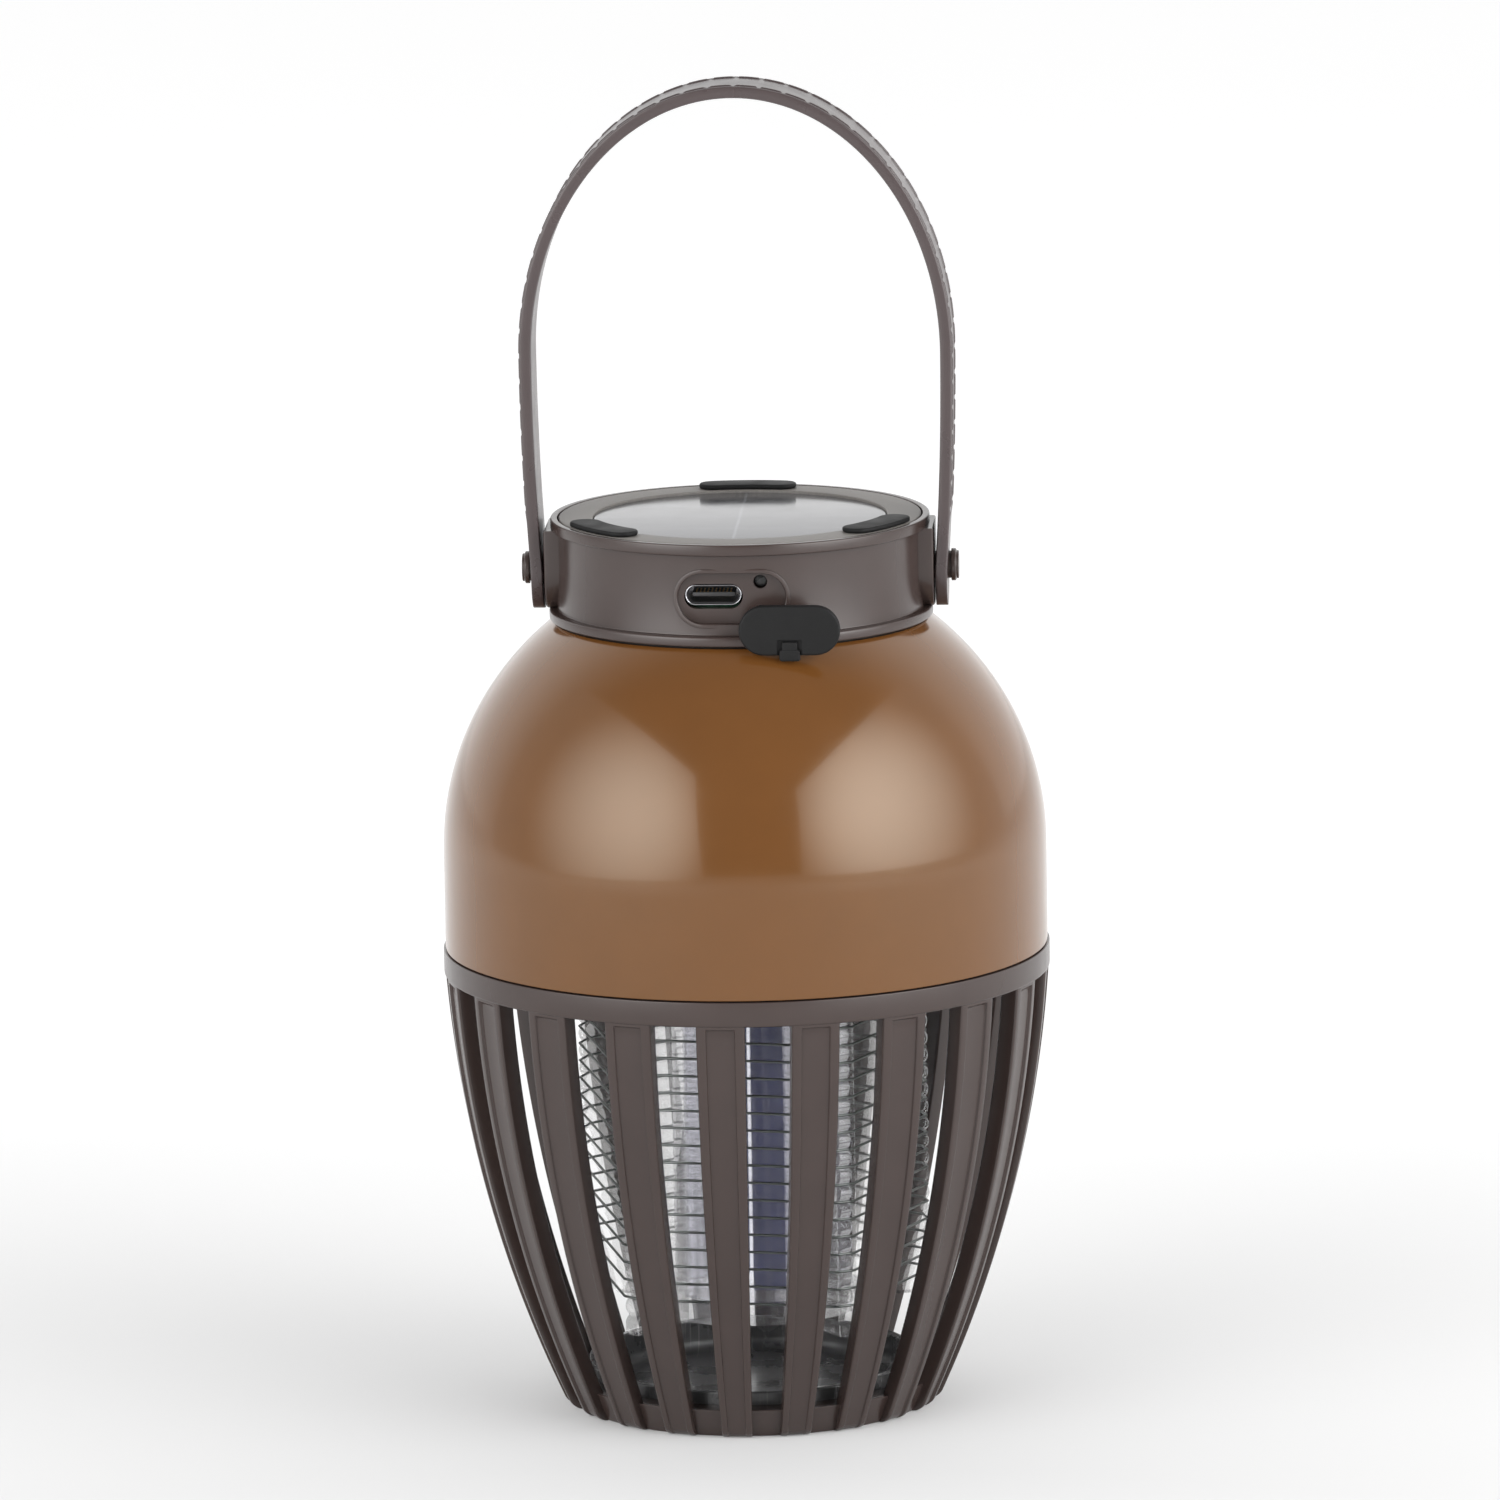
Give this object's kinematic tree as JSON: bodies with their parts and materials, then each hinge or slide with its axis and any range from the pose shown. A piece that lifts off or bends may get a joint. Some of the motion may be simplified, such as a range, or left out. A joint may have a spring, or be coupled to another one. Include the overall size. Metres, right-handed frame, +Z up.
{
  "type": "electric bug zapper",
  "caption": "Rechargeable lantern bug zapper: bail handle, glossy dome, slatted grille round a wired clear grid, pull-out insect tray and a covered charging port.",
  "frame": {"origin": "centre of the underside, on the surface that it stands on", "axes": "+Z up along the lantern's axis, -Y towards the charging port, +X to the right seen from the port"},
  "size_m": [0.0974, 0.0974, 0.2141],
  "materials": {
    "dome": "glossy injection-moulded brown",
    "taupe": "satin moulded taupe",
    "strap": "satin moulded strap with a stitched relief",
    "bezel": "fine sandblasted texture",
    "panel": "dark glossy cells under a clear cover",
    "rubber": "matte",
    "tray": "glossy black with light scratches",
    "clear": "clear polystyrene",
    "violet_clear": "clear tube with a violet tint",
    "wire": "bare drawn wire",
    "steel": "zinc-plated",
    "shell": "nickel-plated",
    "brass": "plain",
    "board": "green solder mask",
    "led_board": "dark blue solder mask",
    "led": "pale lens",
    "cell": "blue sleeve",
    "black_plastic": "plain",
    "ferrite": "sintered",
    "winding": "yellow tape",
    "capacitor": "dipped film",
    "sleeve": "printed-free dark sleeve",
    "lead_red": "PVC insulation",
    "lead_black": "PVC insulation",
    "light_pipe": "frosted"
  },
  "bodies": {
    "housing": {"dome_shell": "dome", "dome_gasket": "rubber", "grille_band": "taupe", "grille_slats": "taupe", "base_ring": "taupe", "deck_plate": "black_plastic", "case_screws": "steel", "grid_former": "clear", "former_screws": "steel", "grid_wire_positive": "wire", "grid_wire_negative": "wire", "grid_terminals": "brass", "light_tube": "violet_clear", "uv_led_boards": "led_board", "uv_leds": "led", "battery_cell": "cell", "battery_cradle": "black_plastic", "main_pcb": "board", "pcb_screws": "steel", "hv_transformer_core": "ferrite", "hv_transformer_coil": "winding", "hv_capacitors": "capacitor", "hv_diodes": "black_plastic", "filter_capacitor": "sleeve", "control_chip": "black_plastic", "hv_leads": "lead_red", "battery_leads": "lead_black", "charge_leads": "lead_red", "collar_housing": "taupe", "collar_gasket": "rubber", "collar_screws": "steel", "charge_board": "board", "usb_socket": "shell", "charge_light_pipe": "light_pipe", "power_switch": "black_plastic", "bezel_ring": "bezel", "solar_panel": "panel", "solar_leads": "lead_red", "foot_pads": "rubber", "pivot_pin_left": "taupe", "pivot_pin_right": "taupe"},
    "handle": {"handle": "strap"},
    "port_cover": {"port_cover": "rubber"},
    "power_button": {"power_button": "taupe"},
    "insect_tray": {"insect_tray": "tray"}
  },
  "joints": [
    {"name": "handle_swing", "type": "hinge", "parent": "housing", "child": "handle", "pos_m": [0, 0, 0.136], "axis": [1, 0, 0], "range_deg": [-110, 110]},
    {"name": "port_cover_swing", "type": "hinge", "parent": "housing", "child": "port_cover", "pos_m": [0.0046, -0.031, 0.1334], "axis": [0, -1, 0], "range_deg": [0, 180]},
    {"name": "power_button_press", "type": "slide", "parent": "housing", "child": "power_button", "axis": [0, -1, 0], "range_m": [0, 0.0007], "stiffness_N_per_m": 600},
    {"name": "tray_pull", "type": "slide", "parent": "housing", "child": "insect_tray", "axis": [0, 0, -1], "range_m": [0, 0.03]}
  ]
}
